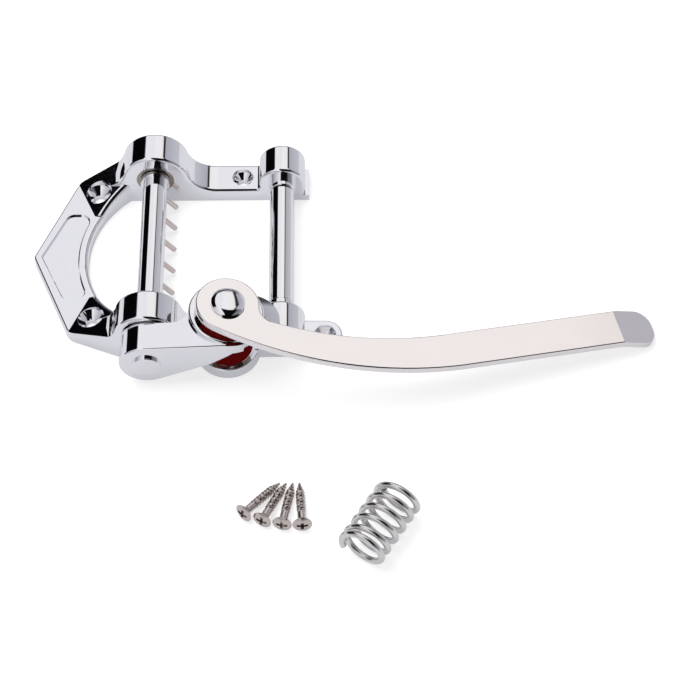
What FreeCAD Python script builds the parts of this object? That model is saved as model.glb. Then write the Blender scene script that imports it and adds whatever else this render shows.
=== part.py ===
import FreeCAD, Part
import math
import os

# A horseshoe vibrato tailpiece for a guitar. Millimetres, +Z up, +X towards the neck, +Y to the bass side.
# The origin lies on the underside, midway between the two tail screws.

# Main shaft and tension bar
shaft_x = 22.2
shaft_z = 12.7
shaft_d = 9.5
bar_span = 48.9
bar_z = 9.2
bar_d = 9.5

# Horseshoe frame
inner_half = 31.0
rail_w = 13.0
rail_h = 6.1
post_r = 12.5
bar_post_r = 8.9
tail_h = 5.0
tail_reach = 23.5
tail_corner_x = -8.3
tail_corner_half = 35.8
shoulder_x = 12.2
tail_point_round = 2.4
tail_corner_round = 6.0
shoulder_round = 14.0
ramp_x = -5.9
ramp_deg = 19.0
ramp_slant_deg = 24.0
ramp_inner = 19.5
ramp_foot_round = 11.0
flank_round = 11.9
bar_post_foot_round = 1.2
edge_round = 1.2
tail_round = 0.8
opening_over = 9.0
opening_x = -2.7
opening_round = 1.8
panel_depth = 0.8
panel_slope = 0.5
panel_tip_inset = 2.9
panel_corner_x = -11.2
panel_half = 20.4
panel_web = 3.3
panel_round = 3.6
toe_reach = 1.5
toe_h = 3.0
tab_reach = 15.4
tab_h = 5.5
foot_round = 0.8

# Screw holes in the frame
tail_hole_pitch = 60.0
tail_hole_d = 4.2
tail_sink_d = 10.0
front_hole_d = 3.8
front_sink_d = 8.2
bass_hole_back = 15.4
sink_land = 2.2

# Spring pocket beside the treble rail
pocket_reach = 29.2
pocket_out = 10.4
pocket_r = 11.9
pocket_wall = 1.7
pocket_h = 5.0
pocket_floor = 2.8
pad_disc_t = 1.3
pad_disc_gap = 0.5
pad_ring_wall = 0.5
pad_ring_rise = 0.3

# Needle bearings
cup_len = 11.0
cup_wall = 1.0
cup_lip_wall = 0.8
needle_d = 1.3
needle_count = 13
needle_end_gap = 0.25
needle_gap = 0.075
running_gap = 0.03
press_gap = 0.02

# String pins
pin_d = 2.0
pin_margin = 5.0
pin_count = 6
pin_tip_r = 13.5
pin_deg = -46.0
pin_nose = 0.6
pin_seat = 4.2
pin_root_d = 1.6

# Shaft dressing
collar_d = 11.2
collar_len = 2.4
collar_gap = 0.3
thrust_t = 0.5
thrust_gap = 0.06
thrust_d = 15.0
end_cap_d = 10.9
end_cap_t = 1.1
end_cap_round = 0.4
spigot_d = 4.0
spigot_len = 4.5
shaft_chamfer = 0.6

# Arm bracket, laid out level from the shaft axis
boss_r = 10.0
boss_w = 11.6
pivot_reach = 27.4
pivot_in = 3.5
pad_r = 13.9
pad_t = 4.9
pad_top = 16.2
pad_round = 0.9
web_drop = 0.3
web_flare_round = 6.0
bracket_round = 0.8
knee_reach = 23.3
knee_h = 3.5
well_r = 9.4
lip_r = 10.4
lip_reach = 9.4
lip_drop = 0.5
lip_dome_r = 26.0
stop_gap = 0.7
grub_d = 4.0
grub_len = 4.6
grub_socket_d = 2.0
grub_socket_depth = 2.0
grub_out = 5.0

# Handle and its pivot
handle_t = 2.8
eye_r = 11.7
neck_w = 10.6
ribbon_w = 14.6
bow_r = 134.9
bow_reach = 50.3
ribbon_rise_deg = 14.5
handle_reach = 159.5
crease_back = 15.0
tip_bend_deg = 15.0
tip_round = 6.0
neck_round = 6.0
handle_edge = 0.6
tip_gap = 0.15
fibre_t = 2.1
fibre_r = 8.8
fibre_gap = 0.1
pivot_d = 6.0
bush_wall = 1.5
button_r = 6.2
button_h = 2.66
button_rim = 0.9
button_bulge = 0.18
crown_r = 4.2
crown_rise = 0.52
button_gap = 0.15
seat_r = 9.0
seat_t = 1.2
nut_flats = 10.0
nut_t = 5.0
nut_chamfer = 0.6
pivot_tail = 0.8

# Tension bar ends
journal_d = 6.4
journal_len = 8.0
bush_d = 9.0
bush_flange_d = 10.6
bush_flange_len = 3.6
bar_end_gap = 0.3

# Loose spring, lying in front
wire_d = 2.4
coil_d = 17.7
coil_pitch = 5.0
coil_turn_shares = (0.6, 1.0, 1.0, 1.0, 1.0, 0.8)
coil_start_deg = -25.0
coil_x = 106.4
coil_y = -120.6
coil_deg = 57.4

# Loose mounting screws, fanned out in front with their points in a row
screw_len = 20.2
screw_head_d = 7.0
screw_cone_h = 2.0
screw_dome_h = 0.9
screw_shank_d = 3.0
screw_point_len = 4.5
screw_tip_d = 0.5
recess_len = 4.0
recess_w = 1.1
recess_depth = 1.6
screw_row_x = 77.9
screw_row_y = -99.6
screw_row_step = 2.35
screw_fan_degs = (48.6, 64.0, 78.9, 93.2)
screw_lift = 0.05

cut_over = 5.0

half_width = inner_half + rail_w
bar_x = shaft_x + bar_span
bass_hole_x = bar_x - bass_hole_back
cup_inner_r = shaft_d / 2 + needle_d + 2 * needle_gap
cup_r = cup_inner_r + cup_wall
post_top = shaft_z + post_r
bar_post_top = bar_z + bar_post_r
bar_post_front = bar_x + bar_post_r
full_h = post_top + cut_over
opening_r = inner_half + opening_over
opening_cx = opening_x + opening_r
ramp_end = opening_cx - math.sqrt(opening_r ** 2 - inner_half ** 2)
boss_y = -(half_width + thrust_t + 2 * thrust_gap)
boss_front = boss_y - boss_w
pivot_y = boss_y + pivot_in
pad_bottom = pad_top - pad_t
handle_bottom = pad_top + fibre_t + 2 * fibre_gap
handle_top = handle_bottom + handle_t
pocket_x = shaft_x + pocket_reach
pin_pitch = 2 * (inner_half - pin_margin) / (pin_count - 1)
eye_to_hub = bow_r + neck_w / 2 - eye_r
bow_depth = bow_r - math.sqrt(eye_to_hub ** 2 - bow_reach ** 2)
pocket_y = -(inner_half + pocket_out)

V = FreeCAD.Vector
UP = V(0, 0, 1)
ALONG_Y = V(0, 1, 0)


def keep(shape, name):
    shape.exportStep("parts/" + name + ".step")
    return shape


def rod(radius, length, base, direction):
    return Part.makeCylinder(radius, length, base, direction)


def tube(outer, inner, length, base, direction):
    return rod(outer, length, base, direction).cut(rod(inner, length, base, direction))


def slab(points, height):
    """A plan outline on the ground raised to a height."""
    closed = [V(x, y, 0) for x, y in points]
    wire = Part.makePolygon(closed + closed[:1])
    return Part.Face(wire).extrude(V(0, 0, height))


def upright_edges(shape, places, reach):
    """The vertical edges of a shape that stand nearest to some plan places."""
    found = []
    for edge in shape.Edges:
        ends = [v.Point for v in edge.Vertexes]
        if len(ends) != 2 or math.hypot(ends[0].x - ends[1].x, ends[0].y - ends[1].y) > running_gap:
            continue
        if any(math.hypot(ends[0].x - x, ends[0].y - y) < reach for x, y in places):
            found.append(edge)
    return found


def turned(points, axis_point, axis):
    """A closed half section, given as (radius, distance along the axis), swept round its axis."""
    side = V(1, 0, 0) if abs(axis.x) < abs(axis.y) + abs(axis.z) else V(0, 0, 1)
    side = side - axis * side.dot(axis)
    side.normalize()
    ring = [axis_point + side * r + axis * s for r, s in points]
    return Part.Face(Part.makePolygon(ring + ring[:1])).revolve(axis_point, axis, 360)


def blend(foot, lean_deg, centre, radius, round_r, forward):
    """The hollow arc between a straight line and a circle, both in the XZ plane."""
    lean = math.radians(lean_deg)
    run = V(math.cos(lean), 0, math.sin(lean))
    lift = V(-math.sin(lean), 0, math.cos(lean))
    start = foot + lift * round_r - centre
    middle = -start.dot(run)
    half = math.sqrt(middle ** 2 - start.dot(start) + (radius + round_r) ** 2)
    travel = middle + half if forward else middle - half
    hub = foot + lift * round_r + run * travel
    on_line = foot + run * travel
    on_circle = centre + (hub - centre) * (radius / (radius + round_r))
    inward = (on_line - hub) + (on_circle - hub)
    inward.normalize()
    return on_line, hub + inward * round_r, on_circle


def segment(a, b):
    return Part.LineSegment(a, b).toShape()


def arc(a, b, c):
    return Part.Arc(a, b, c).toShape()


def side_wall(y_low):
    """One side of the horseshoe: ramp, main post, rail and bar post, its upper edges rounded."""
    post = V(shaft_x, 0, shaft_z)
    bar_post = V(bar_x, 0, bar_z)
    slant = math.radians(ramp_slant_deg)
    foot_x = ramp_x - math.tan(slant) * (inner_half - tail_hole_pitch / 2)
    lean_deg = math.degrees(math.atan(math.tan(math.radians(ramp_deg)) * math.cos(slant)))
    ramp_foot = V(foot_x, 0, tail_h)
    rail_start = V(shaft_x, 0, rail_h)
    a1, a2, a3 = blend(ramp_foot, lean_deg, post, post_r, ramp_foot_round, False)
    b1, b2, b3 = blend(rail_start, 0, post, post_r, flank_round, True)
    c1, c2, c3 = blend(rail_start, 0, bar_post, bar_post_r, bar_post_foot_round, False)
    front = V(bar_post_front, 0, bar_z)
    ground_front = V(bar_post_front, 0, 0)
    ground_back = V(foot_x, 0, 0)
    edges = [segment(ground_back, ramp_foot), segment(ramp_foot, a1), arc(a1, a2, a3),
             arc(a3, V(shaft_x, 0, post_top), b3), arc(b3, b2, b1), segment(b1, c1), arc(c1, c2, c3),
             arc(c3, V(bar_x, 0, bar_post_top), front), segment(front, ground_front),
             segment(ground_front, ground_back)]
    wall = Part.Face(Part.Wire(edges)).extrude(V(0, rail_w, 0))
    wall.translate(V(0, y_low, 0))
    rims = []
    for edge in wall.Edges:
        box = edge.BoundBox
        if box.YLength < running_gap and box.ZMax > running_gap and box.XMax > foot_x + running_gap:
            rims.append(edge)
    return wall.makeFillet(edge_round, rims)


def plan_prism():
    """The horseshoe's plan, as tall as the posts, with its corners rounded."""
    front = bar_post_front + tab_reach
    corners = [(-tail_reach, 0), (tail_corner_x, -tail_corner_half), (shoulder_x, -half_width),
               (front, -half_width), (front, half_width), (shoulder_x, half_width),
               (tail_corner_x, tail_corner_half)]
    plan = slab(corners, full_h)
    plan = plan.makeFillet(tail_point_round, upright_edges(plan, corners[:1], edge_round))
    plan = plan.makeFillet(tail_corner_round, upright_edges(plan, [corners[1], corners[6]], edge_round))
    plan = plan.makeFillet(shoulder_round, upright_edges(plan, [corners[2], corners[5]], edge_round))
    opening = rod(opening_r, full_h, V(opening_cx, 0, 0), UP)
    lane = Part.makeBox(front - opening_x + cut_over, 2 * inner_half, full_h, V(opening_x, -inner_half, 0))
    past_arc = Part.makeBox(front, 2 * inner_half, full_h, V(opening_cx, -inner_half, 0))
    return plan.cut(opening.common(lane).fuse(past_arc))


def sunk_hole(x, y, hole_d, sink_d):
    """A plain hole that opens in a cone for a screw head."""
    deep = (sink_d - hole_d) / 2
    drill = rod(hole_d / 2, full_h, V(x, y, -cut_over), UP)
    cone = Part.makeCone(hole_d / 2, sink_d / 2, deep, V(x, y, sink_land), UP)
    over = rod(sink_d / 2, full_h, V(x, y, sink_land + deep), UP)
    return drill.fuse([cone, over])


def panel_tool():
    """The shallow bare panel in the tail, hollowed on its front side along the opening."""
    points = [(-tail_reach + panel_tip_inset, 0), (panel_corner_x, -panel_half), (opening_cx, -panel_half),
              (opening_cx, panel_half), (panel_corner_x, panel_half)]
    tool = slab(points, panel_depth + cut_over)
    ring_r = opening_r + panel_web
    tool = tool.cut(rod(ring_r, full_h, V(opening_cx, 0, 0), UP))
    front_x = opening_cx - math.sqrt(ring_r ** 2 - panel_half ** 2)
    soft = [points[1], points[4], (front_x, -panel_half), (front_x, panel_half)]
    tool = tool.makeFillet(panel_round, upright_edges(tool, soft, edge_round))
    tool = tool.makeChamfer(panel_slope, [e for e in tool.Edges if e.BoundBox.ZMax < running_gap])
    tool.translate(V(0, 0, tail_h - panel_depth))
    return tool


def opening_edges(shape):
    """The upper edges of a shape along the round of the opening."""
    found = []
    for edge in shape.Edges:
        points = edge.discretize(3)
        off = [abs(math.hypot(p.x - opening_cx, p.y) - opening_r) for p in points]
        across = math.hypot(points[0].x - points[2].x, points[0].y - points[2].y)
        if max(off) < running_gap < across and min(p.z for p in points) > tail_h - running_gap:
            found.append(edge)
    return found


def tail_plate(plan):
    """The flat tail with its outer rim and the rim of the opening rounded."""
    plate = Part.makeBox(tail_reach + ramp_end, 2 * half_width, tail_h, V(-tail_reach, -half_width, 0))
    plate = plate.common(plan)
    inner = opening_edges(plate)
    outer = []
    for edge in plate.Edges:
        box = edge.BoundBox
        on_top = box.ZMin > tail_h - running_gap
        if on_top and box.XMin < ramp_end - running_gap and not any(edge.isSame(e) for e in inner):
            outer.append(edge)
    plate = plate.makeFillet(tail_round, outer)
    return plate.makeFillet(opening_round, opening_edges(plate))


def ramp_block(side, plan):
    """The sloping screw pad on one side, whose foot runs slantwise in from the tail's corner."""
    run = half_width
    rise = run * math.tan(math.radians(ramp_deg))
    face = [V(0, 0, 0), V(0, 0, tail_h), V(run, 0, tail_h + rise), V(run, 0, 0)]
    block = Part.Face(Part.makePolygon(face + face[:1])).extrude(V(0, 2 * inner_half, 0))
    block.translate(V(0, -inner_half, 0))
    block.rotate(V(0, 0, 0), UP, side * ramp_slant_deg)
    block.translate(V(ramp_x, side * tail_hole_pitch / 2, 0))
    low_y = ramp_inner if side > 0 else -half_width
    room = Part.makeBox(tail_reach + ramp_end, half_width - ramp_inner, full_h, V(-tail_reach, low_y, 0))
    block = block.common(room).common(plan)
    return block.makeFillet(opening_round, opening_edges(block))


def frame_shape():
    plan = plan_prism()
    body = tail_plate(plan)
    for side, low_y in ((1, inner_half), (-1, -half_width)):
        body = body.fuse([side_wall(low_y).common(plan), ramp_block(side, plan)])
    toe_run = toe_reach + bar_post_r
    tab_run = tab_reach - toe_reach + bar_post_r
    toe = Part.makeBox(toe_run, rail_w, toe_h, V(bar_x, inner_half, 0))
    tab = Part.makeBox(tab_run, rail_w, tab_h, V(bar_x, -half_width, 0))
    tab_end = bar_x + tab_run
    ends = [(tab_end, -half_width), (tab_end, -inner_half)]
    tab = tab.makeFillet(rail_w / 2 - running_gap, upright_edges(tab, ends, edge_round))
    tab_top = [e for e in tab.Edges if e.BoundBox.ZMin > tab_h - running_gap]
    tab = tab.makeFillet(foot_round, [e for e in tab_top if e.BoundBox.XMax > bar_x + edge_round])
    body = body.fuse([toe, tab])
    cup = rod(pocket_r, pocket_h, V(pocket_x, pocket_y, 0), UP)
    cup = cup.makeFillet(foot_round / 2, [e for e in cup.Edges if e.BoundBox.ZMin > pocket_h - running_gap])
    body = body.fuse(cup)
    bore = rod(pocket_r - pocket_wall, full_h, V(pocket_x, pocket_y, pocket_floor), UP)
    tab_hole_x = tab_end - rail_w / 2
    rail_mid = inner_half + rail_w / 2
    bearing_r = cup_r + press_gap
    bush_r = bush_d / 2 + press_gap
    bush_deep = journal_len + bar_end_gap
    bass_bore = rod(bearing_r, cup_len + collar_gap, V(shaft_x, inner_half, shaft_z), ALONG_Y)
    treble_bore = rod(bearing_r, rail_w, V(shaft_x, -half_width, shaft_z), ALONG_Y)
    bass_seat = rod(bush_r, bush_deep, V(bar_x, inner_half, bar_z), ALONG_Y)
    treble_seat = rod(bush_r, bush_deep, V(bar_x, -inner_half, bar_z), -ALONG_Y)
    cuts = [bore, bass_bore, treble_bore, bass_seat, treble_seat, panel_tool(),
            sunk_hole(0, tail_hole_pitch / 2, tail_hole_d, tail_sink_d),
            sunk_hole(0, -tail_hole_pitch / 2, tail_hole_d, tail_sink_d),
            sunk_hole(bass_hole_x, rail_mid, front_hole_d, front_sink_d),
            sunk_hole(tab_hole_x, -rail_mid, front_hole_d, front_sink_d)]
    return body.cut(cuts).removeSplitter()


def bearing_cup(y_low):
    """A drawn cup with its two inward lips."""
    lip = shaft_d / 2 + needle_gap + needle_d / 3
    end = cup_len
    section = [(cup_r, 0), (cup_r, end), (lip, end), (lip, end - cup_lip_wall),
               (cup_inner_r, end - cup_lip_wall), (cup_inner_r, cup_lip_wall), (lip, cup_lip_wall), (lip, 0)]
    return turned(section, V(shaft_x, y_low, shaft_z), ALONG_Y)


def needle_set(y_low):
    """A ring of needles between shaft and cup."""
    ring = (shaft_d / 2 + cup_inner_r) / 2
    length = cup_len - 2 * cup_lip_wall - 2 * needle_end_gap
    start = y_low + cup_lip_wall + needle_end_gap
    rollers = []
    for k in range(needle_count):
        turn = 2 * math.pi * k / needle_count
        base = V(shaft_x + ring * math.cos(turn), start, shaft_z + ring * math.sin(turn))
        rollers.append(rod(needle_d / 2, length, base, ALONG_Y))
    return Part.makeCompound(rollers)


def level(shape):
    """Moves a piece drawn level from the shaft axis to the drooped rest, tip on the ground."""
    shape.translate(V(shaft_x, 0, shaft_z))
    shape.rotate(V(shaft_x, 0, shaft_z), ALONG_Y, droop_deg)
    return shape


def ribbon_point(along, across):
    """A plan point of the handle: along its straight run from the end of the bow, and across it."""
    rise = math.radians(ribbon_rise_deg)
    hub = V(pivot_reach + bow_reach, pivot_y - bow_depth + bow_r, 0)
    bow_end = hub + V(math.sin(rise), -math.cos(rise), 0) * (bow_r - across)
    return bow_end + V(math.cos(rise), math.sin(rise), 0) * along


def straight_run():
    """Length of the handle's straight run, from the end of the bow to the tip."""
    rise = math.radians(ribbon_rise_deg)
    return (handle_reach - bow_reach - bow_r * math.sin(rise)) / math.cos(rise)


def tip_low_point():
    """The lowest point under the bent tip, as distance and height from the shaft axis."""
    rise = math.radians(ribbon_rise_deg)
    bend = math.radians(tip_bend_deg)
    crease = ribbon_point(straight_run() - crease_back, 0)
    reach = crease.x + crease_back * math.cos(bend) * math.cos(rise) + ribbon_w / 2 * math.sin(rise)
    return reach, handle_bottom - crease_back * math.sin(bend)


def rest_droop():
    """The angle at which the tip of the unsprung handle comes down to the ground."""
    reach, height = tip_low_point()
    drop = (shaft_z - tip_gap) / math.hypot(reach, height)
    return math.degrees(math.atan2(height, reach) + math.asin(drop))


def handle_plan():
    """The handle from above: round eye, bowed neck that widens, and straight ribbon with a rounded end."""
    rise = math.radians(ribbon_rise_deg)
    hub = V(pivot_reach + bow_reach, pivot_y - bow_depth + bow_r, 0)
    half = ribbon_w / 2
    neck = neck_w / 2
    between = (half + neck) / 2
    back = -math.asin(bow_reach / eye_to_hub)
    mid = (back + rise) / 2

    def bow(turn, across):
        return hub + V(math.sin(turn), -math.cos(turn), 0) * (bow_r - across)

    run = straight_run()
    end_low = ribbon_point(run, -half)
    end_high = ribbon_point(run, half)
    edges = [arc(bow(back, -neck), bow(mid, -between), bow(rise, -half)), segment(bow(rise, -half), end_low),
             segment(end_low, end_high), segment(end_high, bow(rise, half)),
             arc(bow(rise, half), bow(mid, between), bow(back, neck)),
             segment(bow(back, neck), bow(back, -neck))]
    tall = handle_top + cut_over
    ribbon = Part.Face(Part.Wire(edges)).extrude(V(0, 0, tall))
    ends = [(end_low.x, end_low.y), (end_high.x, end_high.y)]
    ribbon = ribbon.makeFillet(tip_round, upright_edges(ribbon, ends, edge_round))
    eye = rod(eye_r, tall, V(pivot_reach, pivot_y, 0), UP)
    plan = ribbon.fuse(eye).removeSplitter()
    necks = []
    for edge in upright_edges(plan, [(pivot_reach, pivot_y)], eye_r + running_gap):
        if edge.Vertexes[0].Point.x > pivot_reach + eye_r / 2:
            necks.append(edge)
    return plan.makeFillet(neck_round, necks)


def handle_shape():
    rise = math.radians(ribbon_rise_deg)
    bend = math.radians(tip_bend_deg)
    run = V(math.cos(rise), math.sin(rise), 0)
    crease = ribbon_point(straight_run() - crease_back, 0)
    far = crease_back + cut_over
    down = V(0, 0, -1)
    low = V(crease.x, crease.y, handle_bottom)
    high = V(crease.x, crease.y, handle_top) + run * (handle_t * math.tan(bend / 2))
    reach = run * (far * math.cos(bend)) + down * (far * math.sin(bend))
    back = run * -(handle_reach + pad_r)
    section = [low + back, low, low + reach, high + reach, high, high + back]
    wide = V(-math.sin(rise), math.cos(rise), 0) * handle_reach
    section = [p - wide for p in section]
    sheet = Part.Face(Part.makePolygon(section + section[:1])).extrude(wide * 2)
    plate = handle_plan().common(sheet)
    hole = rod(pivot_d / 2 + bush_wall + press_gap, handle_t, V(pivot_reach, pivot_y, handle_bottom), UP)
    tops = []
    for edge in plate.Edges:
        middle = edge.valueAt((edge.FirstParameter + edge.LastParameter) / 2)
        flat = abs(middle.z - handle_top) < running_gap and edge.BoundBox.ZLength < running_gap
        across = (edge.tangentAt(edge.FirstParameter)).dot(run)
        if flat and not (abs(across) < running_gap and middle.x > crease.x - ribbon_w):
            tops.append(edge)
    return plate.makeFillet(handle_edge, tops).cut(hole)


def bracket_shape():
    """Boss on the shaft, tapering web, round pad over the spring and a front lip that meets the bar post."""
    boss = rod(boss_r, boss_w, V(0, boss_front, 0), ALONG_Y)
    top_x, top_z = pivot_reach, pad_top - web_drop
    top_turn = math.atan2(top_z, top_x) + math.acos(boss_r / math.hypot(top_x, top_z))
    low_turn = math.atan2(knee_h, knee_reach) - math.acos(boss_r / math.hypot(knee_reach, knee_h))
    far_x = pivot_reach + pad_r / 2
    outline = [(boss_r * math.cos(top_turn), boss_r * math.sin(top_turn)), (top_x, top_z), (far_x, top_z),
               (far_x, pad_bottom), (knee_reach + (pad_bottom - knee_h), pad_bottom), (knee_reach, knee_h),
               (boss_r * math.cos(low_turn), boss_r * math.sin(low_turn)), (0, 0)]
    ring = [V(x, boss_front, z) for x, z in outline]
    side_face = Part.Face(Part.makePolygon(ring + ring[:1]))
    web = side_face.extrude(V(0, boss_w, 0))
    tall = 2 * pad_top
    room = Part.makeBox(pivot_reach + boss_r, 2 * half_width, tall, V(-boss_r, -2 * half_width, -pad_top))
    column = rod(pivot_y - boss_front, tall, V(pivot_reach, pivot_y, -pad_top), UP)
    web = web.common(room.fuse(column))
    core = boss.fuse(web).removeSplitter()
    front_rim = [e for e in core.Edges if e.BoundBox.YMax < boss_front + running_gap]
    core = core.makeFillet(bracket_round, front_rim)
    hub_y = boss_y + web_flare_round
    hub_x = pivot_reach - math.sqrt((pad_r + web_flare_round) ** 2 - (hub_y - pivot_y) ** 2)
    meet_y = pivot_y + (hub_y - pivot_y) * pad_r / (pad_r + web_flare_round)
    flare = Part.makeBox(pivot_reach - hub_x, meet_y - boss_y, pad_t, V(hub_x, boss_y, pad_bottom))
    flare = flare.cut(rod(web_flare_round, tall, V(hub_x, hub_y, 0), UP))
    side_face.translate(V(0, boss_w, 0))
    flare = flare.common(side_face.extrude(V(0, pad_r, 0)))
    pad = rod(pad_r, pad_t, V(pivot_reach, pivot_y, pad_bottom), UP)
    pad = pad.makeFillet(pad_round, [e for e in pad.Edges if e.BoundBox.ZMin > pad_top - running_gap])
    lip_x = pivot_reach + lip_reach
    turn = math.radians(droop_deg)
    lip_low = (bar_post_top + stop_gap - shaft_z + (lip_x + lip_r) * math.sin(turn)) / math.cos(turn)
    lip_high = pad_top - lip_drop
    lip = rod(lip_r, lip_high - lip_low, V(lip_x, pivot_y, lip_low), UP)
    lip = lip.common(Part.makeSphere(lip_dome_r, V(lip_x, pivot_y, lip_high - lip_dome_r)))
    body = core.fuse([flare, pad, lip])
    well = rod(well_r, tall, V(pivot_reach, pivot_y, pad_bottom - tall), UP)
    bore = rod(shaft_d / 2 + press_gap, boss_w, V(0, boss_front, 0), ALONG_Y)
    stud = rod(pivot_d / 2 + running_gap, tall, V(pivot_reach, pivot_y, 0), UP)
    grub = rod(grub_d / 2 + press_gap, boss_r + cut_over, V(0, boss_y - grub_out, -boss_r - cut_over), UP)
    return body.cut([well, bore, stud, grub]).removeSplitter()


def shaft_shape(bass_end):
    length = bass_end - boss_front
    core = rod(shaft_d / 2, length, V(0, boss_front, 0), ALONG_Y)
    ends = [e for e in core.Edges if e.BoundBox.YMin > bass_end - running_gap]
    core = core.makeChamfer(shaft_chamfer, ends)
    cuts = [rod(spigot_d / 2 + press_gap, spigot_len + running_gap, V(0, boss_front, 0), ALONG_Y)]
    for y in pin_rows():
        cuts.append(rod(pin_root_d / 2 + press_gap, shaft_d, pin_root(y), pin_way()))
    return core.cut(cuts)


def pin_rows():
    return [pin_pitch * ((pin_count - 1) / 2 - k) for k in range(pin_count)]


def pin_way():
    return V(math.cos(math.radians(pin_deg)), 0, math.sin(math.radians(pin_deg)))


def pin_root(y):
    return pin_way() * (shaft_d / 2 - pin_seat) + V(0, y, 0)


def pin_shape(y):
    """A pin that stands on the shaft with a shoulder and a thinner root, and has a rounded end."""
    shoulder = pin_root(y) + pin_way() * pin_seat
    length = pin_tip_r - shaft_d / 2
    stem = rod(pin_d / 2, length, shoulder, pin_way())
    tip = shoulder + pin_way() * length
    ends = [e for e in stem.Edges if (e.CenterOfMass - tip).Length < running_gap and len(e.Vertexes) == 1]
    return stem.makeFillet(pin_nose, ends).fuse(rod(pin_root_d / 2, pin_seat, pin_root(y), pin_way()))


def button_bolt():
    """A domed button head on a plain stud that reaches down through the nut."""
    base = handle_top + button_gap
    low = pad_bottom - seat_t - nut_t - pivot_tail
    rim = V(pivot_reach + button_r, pivot_y, base + button_rim)
    shoulder = V(pivot_reach + crown_r, pivot_y, base + button_h - crown_rise)
    outward = V(shoulder.z - rim.z, 0, rim.x - shoulder.x).normalize()
    bow = (rim + shoulder) * 0.5 + outward * button_bulge
    cap_r = (crown_r ** 2 + crown_rise ** 2) / (2 * crown_rise)
    cap_sag = cap_r - math.sqrt(cap_r ** 2 - (crown_r / 2) ** 2)
    cap_mid = V(pivot_reach + crown_r / 2, pivot_y, base + button_h - cap_sag)
    axis_top = V(pivot_reach, pivot_y, base + button_h)
    axis_low = V(pivot_reach, pivot_y, low)
    stud_low = V(pivot_reach + pivot_d / 2, pivot_y, low)
    stud_high = V(pivot_reach + pivot_d / 2, pivot_y, base)
    under = V(pivot_reach + button_r, pivot_y, base)
    edges = [segment(axis_low, stud_low), segment(stud_low, stud_high), segment(stud_high, under),
             segment(under, rim), arc(rim, bow, shoulder), arc(shoulder, cap_mid, axis_top),
             segment(axis_top, axis_low)]
    return Part.Face(Part.Wire(edges)).revolve(axis_low, UP, 360)


def nut_shape():
    """A hexagon nut under the upper spring seat."""
    top = pad_bottom - seat_t
    corner = nut_flats / math.sqrt(3)
    ring = []
    for k in range(6):
        turn = math.radians(60 * k)
        ring.append(V(pivot_reach + corner * math.cos(turn), pivot_y + corner * math.sin(turn), top - nut_t))
    block = Part.Face(Part.makePolygon(ring + ring[:1])).extrude(V(0, 0, nut_t))
    base = V(pivot_reach, pivot_y, top - nut_t)
    cone = Part.makeCone(corner - nut_chamfer, corner - nut_chamfer + nut_t, nut_t, base, UP)
    return block.common(cone).cut(rod(pivot_d / 2 + running_gap, nut_t, base, UP))


def grub_shape():
    """A socket set screw that grips the shaft from below."""
    tip = shaft_d / 2 + running_gap
    base = V(0, boss_y - grub_out, -tip - grub_len)
    body = rod(grub_d / 2, grub_len, base, UP)
    return body.cut(rod(grub_socket_d / 2, grub_socket_depth, base, UP))


def bar_bush(face_y, way):
    """A flanged sleeve for one end of the tension bar."""
    bore = journal_d / 2 + running_gap
    outward = V(0, way, 0)
    section = [(bore, -bush_flange_len), (bush_flange_d / 2, -bush_flange_len), (bush_flange_d / 2, 0),
               (bush_d / 2, 0), (bush_d / 2, journal_len), (bore, journal_len)]
    return turned(section, V(bar_x, face_y, bar_z), outward)


def bar_shape():
    half = inner_half - bush_flange_len - bar_end_gap
    full = rod(bar_d / 2, 2 * half, V(bar_x, -half, bar_z), ALONG_Y)
    full = full.makeChamfer(shaft_chamfer, [e for e in full.Edges if len(e.Vertexes) == 1])
    reach = inner_half + journal_len - bar_end_gap
    return full.fuse(rod(journal_d / 2, 2 * reach, V(bar_x, -reach, bar_z), ALONG_Y))


def biarc(p0, t0, p1, t1):
    """Two arcs that leave p0 along t0 and reach p1 along t1."""
    chord = p1 - p0
    both = t0 + t1
    square = 2 * (1 - t0.dot(t1))
    push = (-chord.dot(both) + math.sqrt(chord.dot(both) ** 2 + square * chord.dot(chord))) / square
    q0 = p0 + t0 * push
    q1 = p1 - t1 * push
    joint = (q0 + q1) * 0.5
    pair = []
    for a, knee, b in ((p0, q0, joint), (joint, q1, p1)):
        half = (a + b) * 0.5
        lean = math.acos((half - a).Length / push)
        sag = push / math.tan(lean) * (1 - math.cos(lean))
        bulge = knee - half
        bulge.normalize()
        pair.append(arc(a, half + bulge * sag, b))
    return pair


def spring_shape():
    """An open coil of round wire, wound about X, whose end turns close up."""
    mean = (coil_d - wire_d) / 2
    steps = [0.0]
    for share in coil_turn_shares:
        for quarter in range(4):
            steps.append(steps[-1] + share * coil_pitch / 4)
    centre = steps[-1] / 2
    first = math.radians(coil_start_deg)

    def place(k):
        turn = first + math.pi / 2 * k
        return V(steps[k] - centre, mean * math.cos(turn), mean * math.sin(turn))

    def heading(k):
        turn = first + math.pi / 2 * k
        low, high = max(k - 1, 0), min(k + 1, len(steps) - 1)
        climb = (steps[high] - steps[low]) / (math.pi / 2 * (high - low))
        return V(climb, -mean * math.sin(turn), mean * math.cos(turn)).normalize()

    edges = []
    for k in range(len(steps) - 1):
        edges += biarc(place(k), heading(k), place(k + 1), heading(k + 1))
    path = Part.Wire(edges)
    ring = Part.Wire([Part.Circle(place(0), heading(0), wire_d / 2).toShape()])
    coil = path.makePipeShell([ring], True, False)
    marks = [p for edge in edges for p in edge.discretize(9)[:-1]]
    per_turn = 4 * 2 * 8
    least = coil_d
    for i in range(len(marks) - per_turn // 2):
        for other in marks[i + per_turn // 2:]:
            least = min(least, (marks[i] - other).Length - wire_d)
    print("spring least gap to itself %.2f mm" % least)
    return coil


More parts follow.
